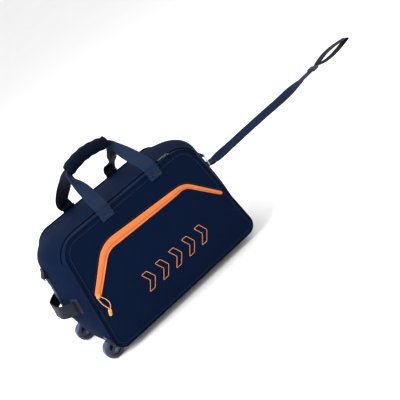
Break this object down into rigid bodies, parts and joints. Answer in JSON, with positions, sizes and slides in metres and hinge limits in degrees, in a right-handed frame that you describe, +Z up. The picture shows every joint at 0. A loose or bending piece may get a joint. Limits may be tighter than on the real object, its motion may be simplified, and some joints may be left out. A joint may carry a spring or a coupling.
{
  "type": "rolling duffel bag",
  "caption": "Soft rolling duffel bag with wheels at one end, wrapped carry handles, zipped mouth, curved zipped front pocket and a webbing pull strap.",
  "frame": {"origin": "on the floor under the middle of the bag", "axes": "+X along the bag towards the pull strap, wheels at -X; +Y from the front pocket to the back; +Z up"},
  "size_m": [1.2092, 0.2786, 0.468],
  "materials": {
    "body_fabric": "navy polyester plain weave, slight sheen",
    "piping": "navy woven piping",
    "inner_board": "black board",
    "orange_flap": "bright orange coated zip tape",
    "orange_cord": "pale orange cord",
    "orange_plastic": "moulded orange",
    "zip_tape": "navy zip tape",
    "zip_teeth": "navy coil teeth",
    "webbing": "navy ribbed webbing",
    "wrap_fabric": "near-black padded fabric",
    "dark_metal": "dark lacquered zinc",
    "steel": "nickel plated",
    "black_plastic": "black moulded",
    "housing_plastic": "dark blue-grey moulded",
    "hub_plastic": "pale blue-grey moulded",
    "tyre_plastic": "dark grey moulded tread"
  },
  "bodies": {
    "bag": {"front_panel": "body_fabric", "back_panel": "body_fabric", "left_end_panel": "body_fabric", "right_end_panel": "body_fabric", "bottom_panel": "body_fabric", "top_panel": "body_fabric", "front_piping": "piping", "back_piping": "piping", "base_board": "inner_board", "end_stiffener": "inner_board", "pocket_panel": "body_fabric", "pocket_zip_flap": "orange_flap", "pocket_zip_teeth": "orange_flap", "main_zip_front_tape": "zip_tape", "main_zip_front_teeth": "zip_teeth", "main_zip_end_tapes": "zip_tape", "front_handle_left_leg": "webbing", "front_handle_right_leg": "webbing", "back_handle_left_leg": "webbing", "back_handle_right_leg": "webbing", "front_handle_anchors": "webbing", "back_handle_anchors": "webbing", "end_grab_handle": "webbing", "left_ring_webbing": "webbing", "left_ring_tab": "webbing", "right_ring_tab": "webbing", "wheel_housing_front": "housing_plastic", "wheel_housing_back": "housing_plastic", "axle_front": "steel", "axle_back": "steel", "housing_screws": "steel", "rest_feet": "black_plastic", "foot_screws": "steel"},
    "mouth": {"mouth_flap": "body_fabric", "main_zip_rear_tape": "zip_tape", "main_zip_rear_teeth": "zip_teeth"},
    "main_slider": {"main_slider": "dark_metal"},
    "main_pull_tab": {"main_pull_tab": "dark_metal"},
    "pocket_slider": {"pocket_slider": "orange_plastic"},
    "pocket_puller": {"pocket_puller_cord": "orange_cord", "pocket_puller_tab": "orange_plastic"},
    "grip": {"front_handle_top": "webbing", "back_handle_top": "webbing", "grip_wrap": "wrap_fabric"},
    "wrap_flap": {"grip_wrap_flap": "wrap_fabric"},
    "left_d_ring": {"left_d_ring": "steel"},
    "right_ring": {"right_ring": "steel"},
    "pull_strap": {"strap_end_loop": "webbing", "pull_strap": "webbing", "hand_loop": "webbing"},
    "tri_glide": {"tri_glide": "black_plastic"},
    "wheel_front": {"hub_front": "hub_plastic", "tyre_front": "tyre_plastic"},
    "wheel_back": {"hub_back": "hub_plastic", "tyre_back": "tyre_plastic"}
  },
  "joints": [
    {"name": "main_zip_slide", "type": "slide", "parent": "bag", "child": "main_slider", "axis": [-1, 0, 0], "range_m": [0, 0.316]},
    {"name": "mouth_fold", "type": "hinge", "parent": "bag", "child": "mouth", "pos_m": [0, 0.04, 0.3285], "axis": [1, 0, 0], "range_deg": [0, 26.1]},
    {"name": "main_pull_tab_swing", "type": "hinge", "parent": "main_slider", "child": "main_pull_tab", "pos_m": [0.1605, -0.07075, 0.335], "axis": [0, 1, 0], "range_deg": [-7, 150]},
    {"name": "pocket_zip_slide", "type": "slide", "parent": "bag", "child": "pocket_slider", "axis": [0.7155, 0.033, 0.6979], "range_m": [0, 0.06]},
    {"name": "pocket_puller_swing", "type": "hinge", "parent": "pocket_slider", "child": "pocket_puller", "pos_m": [-0.21345, -0.11443, 0.17469], "axis": [-0.6983, 0, 0.7158], "range_deg": [0, 85]},
    {"name": "grip_drop", "type": "slide", "parent": "bag", "child": "grip", "axis": [0, 0, -1], "range_m": [0, 0.085], "deforming": ["front_handle_left_leg", "front_handle_right_leg", "back_handle_left_leg", "back_handle_right_leg"]},
    {"name": "wrap_flap_open", "type": "hinge", "parent": "grip", "child": "wrap_flap", "pos_m": [0, -0.0104, 0.4349], "axis": [1, 0, 0], "range_deg": [0, 110]},
    {"name": "left_ring_swing", "type": "hinge", "parent": "bag", "child": "left_d_ring", "pos_m": [-0.27481, 0.0065, 0.259], "axis": [0, 1, 0], "range_deg": [0, 80]},
    {"name": "right_ring_swing", "type": "hinge", "parent": "bag", "child": "right_ring", "pos_m": [0.27987, 0.0065, 0.237], "axis": [0, -1, 0], "range_deg": [0, 20]},
    {"name": "pull_strap_swing", "type": "hinge", "parent": "right_ring", "child": "pull_strap", "pos_m": [0.27987, 0.006, 0.205], "axis": [0, -1, 0], "range_deg": [-19, 50]},
    {"name": "tri_glide_slide", "type": "slide", "parent": "pull_strap", "child": "tri_glide", "axis": [-0.9981, 0, -0.0624], "range_m": [0, 0.034]},
    {"name": "wheel_front_spin", "type": "hinge", "parent": "bag", "child": "wheel_front", "pos_m": [-0.256, -0.0885, 0.027], "axis": [0, 1, 0], "continuous": true},
    {"name": "wheel_back_spin", "type": "hinge", "parent": "bag", "child": "wheel_back", "pos_m": [-0.256, 0.1015, 0.027], "axis": [0, 1, 0], "continuous": true}
  ],
  "couplings": [
    {"joint": "mouth_fold", "follows": "main_zip_slide", "rad_per_m": 1.436}
  ]
}
